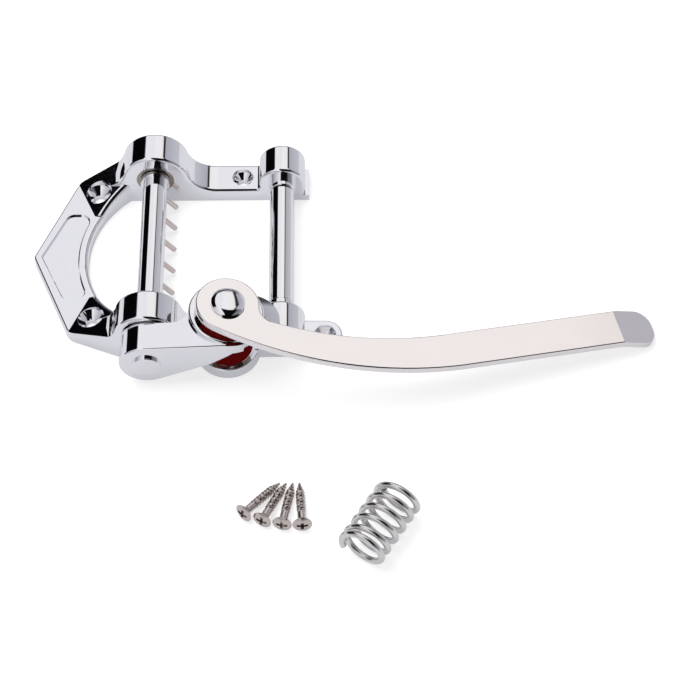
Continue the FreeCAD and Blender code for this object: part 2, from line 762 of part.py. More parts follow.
def wood_screw():
    """A raised-head screw along +X: head at the start, point at the end."""
    head = screw_head_d / 2
    shank = screw_shank_d / 2
    rise = screw_dome_h
    round_r = (head ** 2 + rise ** 2) / (2 * rise)
    half_turn = math.asin(head / round_r) / 2
    dome_mid = V(round_r * (1 - math.cos(half_turn)), 0, round_r * math.sin(half_turn))
    crown = V(0, 0, 0)
    brim = V(rise, 0, head)
    neck = V(rise + screw_cone_h, 0, shank)
    taper = V(screw_len - screw_point_len, 0, shank)
    point = V(screw_len, 0, screw_tip_d / 2)
    end = V(screw_len, 0, 0)
    edges = [arc(crown, dome_mid, brim), segment(brim, neck), segment(neck, taper), segment(taper, point),
             segment(point, end), segment(end, crown)]
    body = Part.Face(Part.Wire(edges)).revolve(crown, V(1, 0, 0), 360)
    cross = []
    for long_y, long_z in ((recess_len, recess_w), (recess_w, recess_len)):
        cross.append(Part.makeBox(recess_depth, long_y, long_z, V(0, -long_y / 2, -long_z / 2)))
    return body.cut(cross)


def loose_screws():
    """Four screws fanned out on the ground, resting on head rim and point."""
    head_at = screw_dome_h
    lean = math.degrees(math.asin((screw_head_d - screw_tip_d) / 2 / (screw_len - head_at)))
    places = []
    for k, fan in enumerate(screw_fan_degs):
        screw = wood_screw()
        screw.translate(V(-screw_len, 0, 0))
        screw.rotate(V(0, 0, 0), ALONG_Y, lean)
        screw.rotate(V(0, 0, 0), UP, fan)
        screw.translate(V(screw_row_x - screw_row_step * (len(screw_fan_degs) - 1 - k), screw_row_y, 0))
        screw.translate(V(0, 0, screw_lift - screw.BoundBox.ZMin))
        places.append(screw)
    return Part.makeCompound(places)


os.makedirs("parts", exist_ok=True)
droop_deg = rest_droop()
print("rest droop %.2f degrees" % droop_deg)

keep(frame_shape(), "base_frame")
bass_cup_y = inner_half + collar_gap / 2
treble_cup_y = -half_width + (rail_w - cup_len) / 2
for side, cup_y in (("bass", bass_cup_y), ("treble", treble_cup_y)):
    keep(bearing_cup(cup_y), side + "_bearing_cup")
    keep(needle_set(cup_y), side + "_needle_rollers")
ring_r = pocket_r - pocket_wall - pad_disc_gap
ring_in = ring_r - pad_ring_wall
floor_mid = V(pocket_x, pocket_y, pocket_floor)
keep(tube(ring_r, ring_in, pad_disc_t + pad_ring_rise, floor_mid, UP), "spring_pad_ring")
keep(rod(ring_in - press_gap, pad_disc_t, floor_mid, UP), "spring_pad")
for side, way in (("bass", 1), ("treble", -1)):
    keep(bar_bush(way * inner_half, way), side + "_bar_bush")
keep(bar_shape(), "tension_bar")

bass_end = bass_cup_y + cup_len - cup_lip_wall / 2
keep(level(shaft_shape(bass_end)), "main_shaft")
for number, row in enumerate(pin_rows(), 1):
    keep(level(pin_shape(row)), "string_pin_%d" % number)
for side, low_y in (("bass", inner_half - collar_gap - collar_len), ("treble", -inner_half + collar_gap)):
    ring = tube(collar_d / 2, shaft_d / 2 + press_gap, collar_len, V(0, low_y, 0), ALONG_Y)
    keep(level(ring), side + "_shaft_collar")
washer = tube(thrust_d / 2, shaft_d / 2 + running_gap, thrust_t, V(0, boss_y + thrust_gap, 0), ALONG_Y)
keep(level(washer), "thrust_washer")
keep(level(bracket_shape()), "arm_bracket")
keep(level(grub_shape()), "bracket_set_screw")
cap = rod(end_cap_d / 2, end_cap_t, V(0, boss_front - end_cap_t, 0), ALONG_Y)
cap = cap.makeFillet(end_cap_round, [e for e in cap.Edges if e.BoundBox.YMax < boss_front - end_cap_t / 2])
cap = cap.fuse(rod(spigot_d / 2, spigot_len, V(0, boss_front, 0), ALONG_Y)).removeSplitter()
keep(level(cap), "shaft_end_cap")
washer_base = V(pivot_reach, pivot_y, pad_top + fibre_gap)
keep(level(tube(fibre_r, pivot_d / 2 + running_gap, fibre_t, washer_base, UP)), "handle_washer")
keep(level(handle_shape()), "handle")
bush_base = V(pivot_reach, pivot_y, handle_bottom)
bush = tube(pivot_d / 2 + bush_wall, pivot_d / 2 + running_gap, handle_t, bush_base, UP)
keep(level(bush), "handle_bush")
keep(level(button_bolt()), "pivot_bolt")
seat_base = V(pivot_reach, pivot_y, pad_bottom - seat_t)
keep(level(tube(seat_r, pivot_d / 2 + running_gap, seat_t, seat_base, UP)), "upper_spring_seat")
keep(level(nut_shape()), "pivot_nut")

coil = spring_shape()
coil.rotate(V(0, 0, 0), UP, coil_deg)
coil.translate(V(coil_x, coil_y, coil_d / 2))
keep(coil, "return_spring")
keep(loose_screws(), "mounting_screws")
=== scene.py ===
import math

import bmesh
import bpy
from mathutils import Euler, Matrix, Vector


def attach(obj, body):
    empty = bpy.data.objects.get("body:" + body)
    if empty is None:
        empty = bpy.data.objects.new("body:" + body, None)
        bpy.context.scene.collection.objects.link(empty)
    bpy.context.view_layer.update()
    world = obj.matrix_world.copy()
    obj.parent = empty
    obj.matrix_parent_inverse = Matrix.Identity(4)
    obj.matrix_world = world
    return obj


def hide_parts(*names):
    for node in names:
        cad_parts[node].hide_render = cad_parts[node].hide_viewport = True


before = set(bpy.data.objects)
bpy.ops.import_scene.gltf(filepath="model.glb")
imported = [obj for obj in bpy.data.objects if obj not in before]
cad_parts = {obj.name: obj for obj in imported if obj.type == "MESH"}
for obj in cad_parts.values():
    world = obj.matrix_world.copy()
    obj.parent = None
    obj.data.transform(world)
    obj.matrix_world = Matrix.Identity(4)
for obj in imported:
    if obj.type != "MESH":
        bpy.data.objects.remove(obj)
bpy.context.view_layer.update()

bl_info = {
    "name": "Horseshoe Vibrato Tailpiece",
    "version": (1, 0, 0),
    "blender": (4, 5, 0),
    "location": "View3D > Sidebar > Tailpiece",
    "description": "Finishes a chrome guitar vibrato tailpiece, its loose spring and its screws",
    "category": "Object",
}

MM = 0.001


def linear(hex_colour):
    """An sRGB hex colour as linear RGBA, by the standard sRGB curve."""
    parts = [int(hex_colour[i:i + 2], 16) / 255 for i in (1, 3, 5)]
    return tuple(p / 12.92 if p <= 0.04045 else ((p + 0.055) / 1.055) ** 2.4 for p in parts) + (1.0,)


def shaded(colour, share=1.0):
    """A linear RGB colour times a share, as opaque RGBA."""
    return tuple(min(1.0, c * share) for c in colour) + (1.0,)


def size(name, default, text):
    """A length in metres that a user may change."""
    return bpy.props.FloatProperty(name=name, description=text, default=default, unit="LENGTH",
                                   precision=5)


def tint(name, hex_colour, text):
    """A linear colour that a user may change."""
    return bpy.props.FloatVectorProperty(name=name, description=text, default=linear(hex_colour)[:3],
                                         subtype="COLOR", size=3, min=0.0, max=1.0)


def turn(name, degrees, text):
    """An angle that a user may change."""
    return bpy.props.FloatProperty(name=name, description=text, default=math.radians(degrees),
                                   subtype="ANGLE")


class TailpieceFinish(bpy.types.PropertyGroup):
    """Colours of the metals, the fibre and the nylon."""

    casting: tint("Plated casting", "#F4F4F7", "Bright plate on the frame and the arm bracket")
    ribbon: tint("Plated handle", "#F8F4F3", "Bright plate on the handle, a little warmer")
    rod: tint("Plated rod", "#F4F4F6", "Bright plate on shaft, bar and button")
    bearing: tint("Bearing steel", "#A39A92", "Drawn cups and needles")
    pin: tint("String pin", "#E2D6D1", "Polished pins with a warm cast")
    fibre: tint("Red fibre", "#A00000", "Pressed fibre of the spring pad and the handle washer")
    wire: tint("Spring wire", "#E6E4E2", "Bright drawn wire")
    nickel: tint("Nickel screw", "#D2C9C3", "Nickel plate on the wood screws")
    oxide: tint("Black oxide", "#2A2A2C", "Set screw")
    bronze: tint("Bronze", "#B98E55", "Handle bush")
    nylon: tint("Nylon", "#E9E6DC", "Thrust washer")


class TailpieceSpring(bpy.types.PropertyGroup):
    """Sizes and place of the loose return spring."""

    wire_d: size("Wire", 2.4 * MM, "Diameter of the wire")
    coil_d: size("Coil", 17.7 * MM, "Outer diameter of the coil")
    pitch: size("Pitch", 5.0 * MM, "Rise of one open turn")
    x: size("Place X", 106.4 * MM, "Middle of the coil along X")
    y: size("Place Y", -120.6 * MM, "Middle of the coil along Y")
    heading: turn("Heading", 57.4, "Direction of the coil's axis from +X")
    start: turn("Start", -25.0, "Place of the wire's first end round the coil")


class TailpieceScrew(bpy.types.PropertyGroup):
    """Sizes and place of the loose wood screws."""

    length: size("Length", 20.2 * MM, "From the crown of the head to the point")
    head_d: size("Head", 7.0 * MM, "Diameter of the head")
    dome_h: size("Dome", 0.9 * MM, "Rise of the raised head above its brim")
    cone_h: size("Cone", 2.0 * MM, "Depth of the countersunk part of the head")
    neck_d: size("Neck", 3.0 * MM, "Diameter of the plain neck")
    neck_len: size("Neck length", 3.4 * MM, "Plain length under the head")
    thread_d: size("Thread", 3.4 * MM, "Outer diameter of the thread")
    root_d: size("Root", 2.3 * MM, "Diameter between the threads")
    pitch: size("Thread pitch", 1.4 * MM, "Distance from crest to crest")
    point_len: size("Point", 4.5 * MM, "Length of the tapered point")
    tip_d: size("Tip", 0.5 * MM, "Diameter at the end of the point")
    recess_len: size("Recess", 4.0 * MM, "Length of each slot of the cross recess")
    recess_w: size("Recess width", 1.1 * MM, "Width of each slot of the cross recess")
    recess_depth: size("Recess depth", 1.6 * MM, "Depth of the cross recess")
    row_x: size("Row X", 77.9 * MM, "Point of the last screw along X")
    row_y: size("Row Y", -99.6 * MM, "Points of the screws along Y")
    row_step: size("Row step", 2.35 * MM, "Distance between the points")
    lift: size("Lift", 0.05 * MM, "Height of the lowest thread above the floor")


class TailpieceStage(bpy.types.PropertyGroup):
    """Camera angle and floor colours."""

    lens: bpy.props.FloatProperty(name="Lens", description="Focal length on a 36 mm sensor",
                                  default=118.25, min=1.0, subtype="DISTANCE_CAMERA")
    tilt: turn("Tilt", 35.43, "Camera turn from straight down")
    heading: turn("Heading", -0.52, "Camera turn about the vertical")
    floor: tint("Floor", "#FFFFFF", "Pale table")
    mirrored_floor: tint("Mirrored floor", "#DBDBDF", "The table as the bright metal mirrors it")


def node(tree, kind, links=None, **settings):
    """Adds a node, sets its properties and sockets, and links other sockets into it."""
    made = tree.nodes.new(kind)
    for key, value in settings.items():
        setattr(made, key, value)
    for socket, value in (links or {}).items():
        if isinstance(value, bpy.types.NodeSocket):
            tree.links.new(value, made.inputs[socket])
        else:
            made.inputs[socket].default_value = value
    return made


def new_material(name):
    """An empty node material with its output, and its shader node."""
    material = bpy.data.materials.new(name)
    material.use_nodes = True
    tree = material.node_tree
    tree.nodes.clear()
    shader = node(tree, "ShaderNodeBsdfPrincipled")
    node(tree, "ShaderNodeOutputMaterial", {"Surface": shader.outputs["BSDF"]})
    return material, tree, shader


# Most of a noise node's values lie between these two.
NOISE_LOW = 0.3
NOISE_HIGH = 0.7
NOISE_ROUGHNESS = 0.55

HAZE_DETAIL = 3.0
HAZE_DULL_SHARE = 0.96
WAVE_DETAIL = 1.0

FLECK_MM = (0.9, 0.35, 0.35)
FLECK_DETAIL = 4.0
FLECK_DARK_SHARE = 0.55
FLECK_PALE_SHARE = 1.25
FLECK_HEIGHT = 0.05 * MM
FLECK_BUMP = 0.4
FIBRE_ROUGHNESS = 0.55
FIBRE_SPECULAR = 0.12

MOTTLE_MM = (0.3, 0.3, 0.3)
MOTTLE_DETAIL = 3.0
MOTTLE_DARK_SHARE = 0.85


def grain(tree, cells_mm, detail):
    """Noise on Object coordinates, with cells of a real size along X, Y and Z."""
    place = node(tree, "ShaderNodeTexCoord")
    cells = node(tree, "ShaderNodeMapping", {"Vector": place.outputs["Object"],
                                             "Scale": tuple(1.0 / (cell * MM) for cell in cells_mm)})
    noise = node(tree, "ShaderNodeTexNoise", {"Vector": cells.outputs["Vector"], "Scale": 1.0,
                                              "Detail": detail, "Roughness": NOISE_ROUGHNESS})
    return noise.outputs["Fac"]


def plated(name, colour, rough, wave_mm, wave_height_mm, haze_mm, rough_spread=0.03):
    """Plated or polished metal: a mirror, slightly wavy, with a faint haze.

    Polishing lines are too fine to show in the render, so their haze is drawn in cells of haze_mm.
    """
    material, tree, shader = new_material(name)
    haze = grain(tree, haze_mm, HAZE_DETAIL)
    waves = grain(tree, (wave_mm, wave_mm, wave_mm), WAVE_DETAIL)
    gloss = node(tree, "ShaderNodeMapRange", {"Value": haze, "From Min": NOISE_LOW, "From Max": NOISE_HIGH,
                                              "To Min": rough, "To Max": rough + rough_spread})
    bump = node(tree, "ShaderNodeBump", {"Height": waves, "Strength": 1.0, "Distance": wave_height_mm * MM})
    shade = node(tree, "ShaderNodeMix", {"Factor": haze, "A": shaded(colour),
                                         "B": shaded(colour, HAZE_DULL_SHARE)}, data_type="RGBA")
    tree.links.new(shade.outputs["Result"], shader.inputs["Base Color"])
    tree.links.new(gloss.outputs["Result"], shader.inputs["Roughness"])
    tree.links.new(bump.outputs["Normal"], shader.inputs["Normal"])
    shader.inputs["Metallic"].default_value = 1.0
    return material


def pressed_fibre(colour):
    """Vulcanised fibre: pressed paper, dull red, with short dark and pale flecks about 0.9 mm long."""
    material, tree, shader = new_material("vulcanised_red_fibre")
    flecks = grain(tree, FLECK_MM, FLECK_DETAIL)
    ramp = node(tree, "ShaderNodeValToRGB", {"Fac": flecks})
    dark, pale = ramp.color_ramp.elements
    dark.position = NOISE_LOW
    dark.color = shaded(colour, FLECK_DARK_SHARE)
    pale.position = NOISE_HIGH
    pale.color = shaded(colour, FLECK_PALE_SHARE)
    bump = node(tree, "ShaderNodeBump", {"Height": flecks, "Strength": FLECK_BUMP, "Distance": FLECK_HEIGHT})
    tree.links.new(ramp.outputs["Color"], shader.inputs["Base Color"])
    tree.links.new(bump.outputs["Normal"], shader.inputs["Normal"])
    shader.inputs["Roughness"].default_value = FIBRE_ROUGHNESS
    shader.inputs["Specular IOR Level"].default_value = FIBRE_SPECULAR
    return material


def mottled(name, colour, rough):
    """A plain dull surface of one colour with a fine mottle 0.3 mm across."""
    material, tree, shader = new_material(name)
    mottle = grain(tree, MOTTLE_MM, MOTTLE_DETAIL)
    shade = node(tree, "ShaderNodeMix", {"Factor": mottle, "A": shaded(colour),
                                         "B": shaded(colour, MOTTLE_DARK_SHARE)}, data_type="RGBA")
    tree.links.new(shade.outputs["Result"], shader.inputs["Base Color"])
    shader.inputs["Roughness"].default_value = rough
    return material


def wear(material, *nodes):
    """Puts a material on CAD nodes."""
    for name in nodes:
        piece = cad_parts[name]
        for slot in piece.material_slots:
            slot.material = material


def link_mesh(mesh, name):
    """Puts a mesh into the scene as a new object."""
    piece = bpy.data.objects.new(name, mesh)
    bpy.context.scene.collection.objects.link(piece)
    return piece


def grown(tree, name, inputs, seed=None):
    """Runs a geometry tree on a seed mesh and keeps the result as a plain mesh object."""
    seed = seed or bpy.data.meshes.new(name + "_seed")
    holder = link_mesh(seed, seed.name)
    modifier = holder.modifiers.new("grow", "NODES")
    modifier.node_group = tree
    for item in tree.interface.items_tree:
        if item.item_type == "SOCKET" and item.in_out == "INPUT" and item.name in inputs:
            modifier[item.identifier] = inputs[item.name]
    bpy.context.view_layer.update()
    evaluated = holder.evaluated_get(bpy.context.evaluated_depsgraph_get())
    mesh = bpy.data.meshes.new_from_object(evaluated)
    bpy.data.objects.remove(holder)
    bpy.data.meshes.remove(seed)
    mesh.name = name
    return link_mesh(mesh, name)


def new_tree(name, sizes):
    """A geometry tree with a geometry socket each way and named inputs for its sizes."""
    tree = bpy.data.node_groups.new(name, "GeometryNodeTree")
    tree.interface.new_socket("Geometry", in_out="INPUT", socket_type="NodeSocketGeometry")
    tree.interface.new_socket("Geometry", in_out="OUTPUT", socket_type="NodeSocketGeometry")
    for label, default in sizes.items():
        socket = tree.interface.new_socket(label, in_out="INPUT", socket_type="NodeSocketFloat")
        socket.default_value = default
    return tree, node(tree, "NodeGroupInput")


def close_tree(tree, geometry, material):
    """Ends a geometry tree with real meshes in one material."""
    whole = node(tree, "GeometryNodeRealizeInstances", {"Geometry": geometry})
    dressed = node(tree, "GeometryNodeSetMaterial", {"Geometry": whole.outputs["Geometry"],
                                                     "Material": material})
    node(tree, "NodeGroupOutput", {"Geometry": dressed.outputs["Geometry"]})


def helix_place(tree, height, angle, radius):
    """Points round the X axis from a height, an angle and a radius."""
    cosine = node(tree, "ShaderNodeMath", {0: angle}, operation="COSINE")
    sine = node(tree, "ShaderNodeMath", {0: angle}, operation="SINE")
    side = node(tree, "ShaderNodeMath", {0: cosine.outputs[0], 1: radius}, operation="MULTIPLY")
    lift = node(tree, "ShaderNodeMath", {0: sine.outputs[0], 1: radius}, operation="MULTIPLY")
    place = node(tree, "ShaderNodeCombineXYZ", {"X": height, "Y": side.outputs[0], "Z": lift.outputs[0]})
    return place.outputs["Vector"]


# The rise of each turn of the spring as a share of the pitch: the end turns close up.
SPRING_TURN_SHARES = (0.6, 1.0, 1.0, 1.0, 1.0, 0.8)
SPRING_TURN_STEPS = 40
WIRE_ROUND_STEPS = 24


def spring_tree(material, sizes):
    """An open coil: points on a helix whose end turns close up, swept with the round wire."""
    tree, ask = new_tree("wound_spring", {"Wire": sizes.wire_d, "Coil": sizes.coil_d, "Pitch": sizes.pitch})
    turns = len(SPRING_TURN_SHARES)
    total = sum(SPRING_TURN_SHARES)
    line = node(tree, "GeometryNodeCurvePrimitiveLine")
    dense = node(tree, "GeometryNodeResampleCurve", {"Curve": line.outputs["Curve"],
                                                     "Count": turns * SPRING_TURN_STEPS + 1})
    along = node(tree, "GeometryNodeSplineParameter").outputs["Factor"]
    rise = node(tree, "ShaderNodeFloatCurve", {"Value": along})
    points = rise.mapping.curves[0].points
    climb = 0.0
    for k, share in enumerate(SPRING_TURN_SHARES[:-1], 1):
        climb += share
        points.new(k / turns, climb / total)
    for point in points:
        point.handle_type = "AUTO_CLAMPED"
    rise.mapping.update()
    middle = node(tree, "ShaderNodeMath", {0: rise.outputs[0], 1: 0.5}, operation="SUBTRACT")
    reach = node(tree, "ShaderNodeMath", {0: ask.outputs["Pitch"], 1: total}, operation="MULTIPLY")
    height = node(tree, "ShaderNodeMath", {0: middle.outputs[0], 1: reach.outputs[0]}, operation="MULTIPLY")
    angle = node(tree, "ShaderNodeMath", {0: along, 1: 2 * math.pi * turns, 2: sizes.start},
                 operation="MULTIPLY_ADD")
    mean_d = node(tree, "ShaderNodeMath", {0: ask.outputs["Coil"], 1: ask.outputs["Wire"]},
                  operation="SUBTRACT")
    mean_r = node(tree, "ShaderNodeMath", {0: mean_d.outputs[0], 1: 0.5}, operation="MULTIPLY")
    place = helix_place(tree, height.outputs[0], angle.outputs[0], mean_r.outputs[0])
    helix = node(tree, "GeometryNodeSetPosition", {"Geometry": dense.outputs["Curve"], "Position": place})
    wire_r = node(tree, "ShaderNodeMath", {0: ask.outputs["Wire"], 1: 0.5}, operation="MULTIPLY")
    section = node(tree, "GeometryNodeCurvePrimitiveCircle", {"Resolution": WIRE_ROUND_STEPS,
                                                              "Radius": wire_r.outputs[0]})
    wire = node(tree, "GeometryNodeCurveToMesh", {"Curve": helix.outputs["Geometry"], "Fill Caps": True,
                                                  "Profile Curve": section.outputs["Curve"]})
    smooth = node(tree, "GeometryNodeSetShadeSmooth", {"Geometry": wire.outputs["Mesh"]})
    close_tree(tree, smooth.outputs["Geometry"], material)
    return tree


SCREW_FAN_DEGREES = (48.6, 64.0, 78.9, 93.2)
SCREW_ROUND_STEPS = 48
DOME_STEPS = 8
MERGE_REACH = 0.001 * MM
THREAD_TURN_STEPS = 28
THREAD_ROUND_STEPS = 8
# The thread keeps its height up to this share of its length, then thins to a share of it.
THREAD_FULL_SHARE = 0.7
THREAD_END_SHARE = 0.3
CRISP_EDGE = math.radians(35.0)


def turned_screw(sizes):
    """The plain turned body of a wood screw along X, its point at the origin."""
    head = sizes.head_d / 2
    ball = (head ** 2 + sizes.dome_h ** 2) / (2 * sizes.dome_h)
    section = []
    for k in range(DOME_STEPS + 1):
        lean = math.asin(head / ball) * k / DOME_STEPS
        section.append((ball * (1 - math.cos(lean)), ball * math.sin(lean)))
    neck_start = sizes.dome_h + sizes.cone_h
    neck_end = neck_start + sizes.neck_len
    section += [(neck_start, sizes.neck_d / 2), (neck_end, sizes.neck_d / 2),
                (neck_end + (sizes.neck_d - sizes.root_d) / 2, sizes.root_d / 2),
                (sizes.length - sizes.point_len, sizes.root_d / 2), (sizes.length, sizes.tip_d / 2),
                (sizes.length, 0.0)]
    mesh = bpy.data.meshes.new("turned_screw")
    work = bmesh.new()
    points = [work.verts.new((x - sizes.length, r, 0.0)) for x, r in section]
    edges = [work.edges.new(pair) for pair in zip(points, points[1:])]
    bmesh.ops.spin(work, geom=points + edges, cent=(0.0, 0.0, 0.0), axis=(1.0, 0.0, 0.0),
                   angle=2 * math.pi, steps=SCREW_ROUND_STEPS, use_merge=True)
    bmesh.ops.remove_doubles(work, verts=work.verts, dist=MERGE_REACH)
    bmesh.ops.recalc_face_normals(work, faces=work.faces)
    work.to_mesh(mesh)
    work.free()
    return mesh


def recessed_body(tree, body, sizes):
    """The turned body with the cross recess cut into its head."""
    cut = node(tree, "GeometryNodeMeshBoolean", {"Mesh 1": body}, operation="DIFFERENCE", solver="EXACT")
    for wide, deep in ((sizes.recess_len, sizes.recess_w), (sizes.recess_w, sizes.recess_len)):
        bar = node(tree, "GeometryNodeMeshCube", {"Size": (2 * sizes.recess_depth, wide, deep)})
        slot = node(tree, "GeometryNodeTransform", {"Geometry": bar.outputs["Mesh"],
                                                    "Translation": (-sizes.length, 0.0, 0.0)})
        tree.links.new(slot.outputs["Geometry"], cut.inputs["Mesh 2"])
    return cut.outputs["Mesh"]


def thread_ridge(tree, ask, sizes):
    """The thread: a helix on the root that follows the point's taper, swept with a small round."""
    start = sizes.dome_h + sizes.cone_h + sizes.neck_len - sizes.length
    line = node(tree, "GeometryNodeCurvePrimitiveLine", {"Start": (start, 0.0, 0.0), "End": (0.0, 0.0, 0.0)})
    count = round(-start / sizes.pitch * THREAD_TURN_STEPS)
    dense = node(tree, "GeometryNodeResampleCurve", {"Curve": line.outputs["Curve"], "Count": count})
    spot = node(tree, "GeometryNodeInputPosition")
    along = node(tree, "ShaderNodeSeparateXYZ", {"Vector": spot.outputs["Position"]}).outputs["X"]
    winds = node(tree, "ShaderNodeMath", {0: along, 1: ask.outputs["Pitch"]}, operation="DIVIDE")
    angle = node(tree, "ShaderNodeMath", {0: winds.outputs[0], 1: 2 * math.pi}, operation="MULTIPLY")
    root_r = node(tree, "ShaderNodeMath", {0: ask.outputs["Root"], 1: 0.5}, operation="MULTIPLY")
    core = node(tree, "ShaderNodeMapRange", {"Value": along, "From Min": -sizes.point_len, "From Max": 0.0,
                                             "To Min": root_r.outputs[0], "To Max": sizes.tip_d / 2})
    place = helix_place(tree, along, angle.outputs[0], core.outputs["Result"])
    helix = node(tree, "GeometryNodeSetPosition", {"Geometry": dense.outputs["Curve"], "Position": place})
    step = node(tree, "ShaderNodeMath", {0: ask.outputs["Thread"], 1: ask.outputs["Root"]},
                operation="SUBTRACT")
    crest = node(tree, "ShaderNodeMath", {0: step.outputs[0], 1: 0.5}, operation="MULTIPLY")
    section = node(tree, "GeometryNodeCurvePrimitiveCircle", {"Resolution": THREAD_ROUND_STEPS,
                                                              "Radius": crest.outputs[0]})
    done = node(tree, "GeometryNodeSplineParameter").outputs["Factor"]
    thin = node(tree, "ShaderNodeMapRange", {"Value": done, "From Min": THREAD_FULL_SHARE, "From Max": 1.0,
                                             "To Min": 1.0, "To Max": THREAD_END_SHARE})
    ridge = node(tree, "GeometryNodeCurveToMesh", {"Curve": helix.outputs["Geometry"], "Fill Caps": True,
                                                   "Profile Curve": section.outputs["Curve"],
                                                   "Scale": thin.outputs["Result"]})
    return ridge.outputs["Mesh"]


def fanned(tree, screw, sizes):
    """The screws fanned out with their points in a row, each sloping from its head's rim to its point."""
    lean = math.asin((sizes.head_d - sizes.tip_d) / 2 / (sizes.length - sizes.dome_h))
    fan = node(tree, "GeometryNodeJoinGeometry")
    last = len(SCREW_FAN_DEGREES) - 1
    for k, heading in enumerate(SCREW_FAN_DEGREES):
        point = (sizes.row_x - sizes.row_step * (last - k), sizes.row_y, 0.0)
        placed = node(tree, "GeometryNodeTransform", {"Geometry": screw, "Translation": point,
                                                      "Rotation": (0.0, lean, math.radians(heading))})
        tree.links.new(placed.outputs["Geometry"], fan.inputs["Geometry"])
    return fan.outputs["Geometry"]


def screw_tree(material, sizes):
    """Cuts the cross recess, winds the thread on the turned body and fans out the screws."""
    tree, ask = new_tree("wood_screws", {"Pitch": sizes.pitch, "Root": sizes.root_d,
                                         "Thread": sizes.thread_d})
    body = recessed_body(tree, ask.outputs["Geometry"], sizes)
    screw = node(tree, "GeometryNodeJoinGeometry", {"Geometry": body})
    tree.links.new(thread_ridge(tree, ask, sizes), screw.inputs["Geometry"])
    fan = fanned(tree, screw.outputs["Geometry"], sizes)
    smooth = node(tree, "GeometryNodeSetShadeSmooth", {"Geometry": fan})
    bend = node(tree, "GeometryNodeInputMeshEdgeAngle")
    sharp = node(tree, "FunctionNodeCompare", {0: bend.outputs["Unsigned Angle"], 1: CRISP_EDGE},
                 operation="GREATER_THAN")
    crisp = node(tree, "GeometryNodeSetShadeSmooth", {"Geometry": smooth.outputs["Geometry"],
                                                      "Selection": sharp.outputs["Result"],
                                                      "Shade Smooth": False}, domain="EDGE")
    close_tree(tree, crisp.outputs["Geometry"], material)
    return tree


class TAILPIECE_OT_casting(bpy.types.Operator):
    """Plates the horseshoe frame and the arm bracket"""

    bl_idname = "tailpiece.casting"
    bl_label = "Frame and bracket"

    def execute(self, context):
        # Chrome on a buffed zinc casting: a cool mirror that wavers a little, because buffing by hand
        # leaves the casting not quite flat.
        finish = plated("plated_zinc_casting", context.scene.tailpiece_finish.casting, rough=0.03,
                        wave_mm=9.0, wave_height_mm=0.02, haze_mm=(2.5, 2.5, 2.5))
        wear(finish, "base_frame", "arm_bracket")
        return {"FINISHED"}


class TAILPIECE_OT_rods(bpy.types.Operator):
    """Plates the turned pieces: shaft, tension bar, collars, bushes, end cap, button and pad ring"""

    bl_idname = "tailpiece.rods"
    bl_label = "Turned pieces"

    def execute(self, context):
        # Chrome on turned and ground steel: the truest mirror here, so its bands run straight along the
        # rods, with the haze lying in rings round them.
        finish = plated("plated_turned_steel", context.scene.tailpiece_finish.rod, rough=0.03,
                        wave_mm=14.0, wave_height_mm=0.004, haze_mm=(2.5, 0.4, 2.5))
        wear(finish, "main_shaft", "tension_bar", "bass_shaft_collar", "treble_shaft_collar", "bass_bar_bush",
             "treble_bar_bush", "shaft_end_cap", "pivot_bolt", "spring_pad_ring")
        return {"FINISHED"}


class TAILPIECE_OT_handle(bpy.types.Operator):
    """Plates the handle and finishes its bush"""

    bl_idname = "tailpiece.handle"
    bl_label = "Handle"

    def execute(self, context):
        colours = context.scene.tailpiece_finish
        # Chrome on a polished steel strip: a broad, even, faintly warm mirror, softer than the rods.
        finish = plated("plated_steel_strip", colours.ribbon, rough=0.05, wave_mm=16.0,
                        wave_height_mm=0.012, haze_mm=(14.0, 7.0, 7.0))
        wear(finish, "handle")
        # Sintered bronze: a dull gold with soft highlights. Its pores are too fine to show, so they are
        # drawn half a millimetre wide.
        bronze = plated("sintered_bronze", colours.bronze, rough=0.3, wave_mm=3.0, wave_height_mm=0.003,
                        haze_mm=(0.5, 0.5, 0.5))
        wear(bronze, "handle_bush")
        return {"FINISHED"}


class TAILPIECE_OT_bearings(bpy.types.Operator):
    """Finishes the needle bearings, the thrust washer and the hidden fasteners"""

    bl_idname = "tailpiece.bearings"
    bl_label = "Bearings and fasteners"

    def execute(self, context):
        colours = context.scene.tailpiece_finish
        # Drawn and ground bearing steel: a grey satin that smears the reflections, with fine rings round
        # the shaft's axis.
        steel = plated("drawn_bearing_steel", colours.bearing, rough=0.22, wave_mm=2.0,
                       wave_height_mm=0.004, haze_mm=(0.6, 0.2, 0.6), rough_spread=0.12)
        wear(steel, "bass_bearing_cup", "treble_bearing_cup", "bass_needle_rollers", "treble_needle_rollers",
             "upper_spring_seat", "pivot_nut")
        # Black oxide on steel: a thin dark skin with a weak sheen.
        wear(mottled("black_oxide_steel", colours.oxide, rough=0.35), "bracket_set_screw")
        # Turned nylon: an even, waxy off-white.
        wear(mottled("turned_nylon", colours.nylon, rough=0.5), "thrust_washer")
        return {"FINISHED"}


class TAILPIECE_OT_pins(bpy.types.Operator):
    """Finishes the row of string pins"""

    bl_idname = "tailpiece.pins"
    bl_label = "String pins"

    def execute(self, context):
        # Polished steel: a warm pale glint along each pin, softer than the plate beside it.
        finish = plated("polished_pin_steel", context.scene.tailpiece_finish.pin, rough=0.16, wave_mm=2.0,
                        wave_height_mm=0.002, haze_mm=(0.8, 0.8, 0.8), rough_spread=0.08)
        wear(finish, *[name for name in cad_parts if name.startswith("string_pin")])
        return {"FINISHED"}


class TAILPIECE_OT_fibre(bpy.types.Operator):
    """Finishes the spring pad and the handle washer"""

    bl_idname = "tailpiece.fibre"
    bl_label = "Red fibre"

    def execute(self, context):
        # Vulcanised fibre: a deep matt red, the one colour among the bright metal.
        wear(pressed_fibre(context.scene.tailpiece_finish.fibre), "spring_pad", "handle_washer")
        return {"FINISHED"}


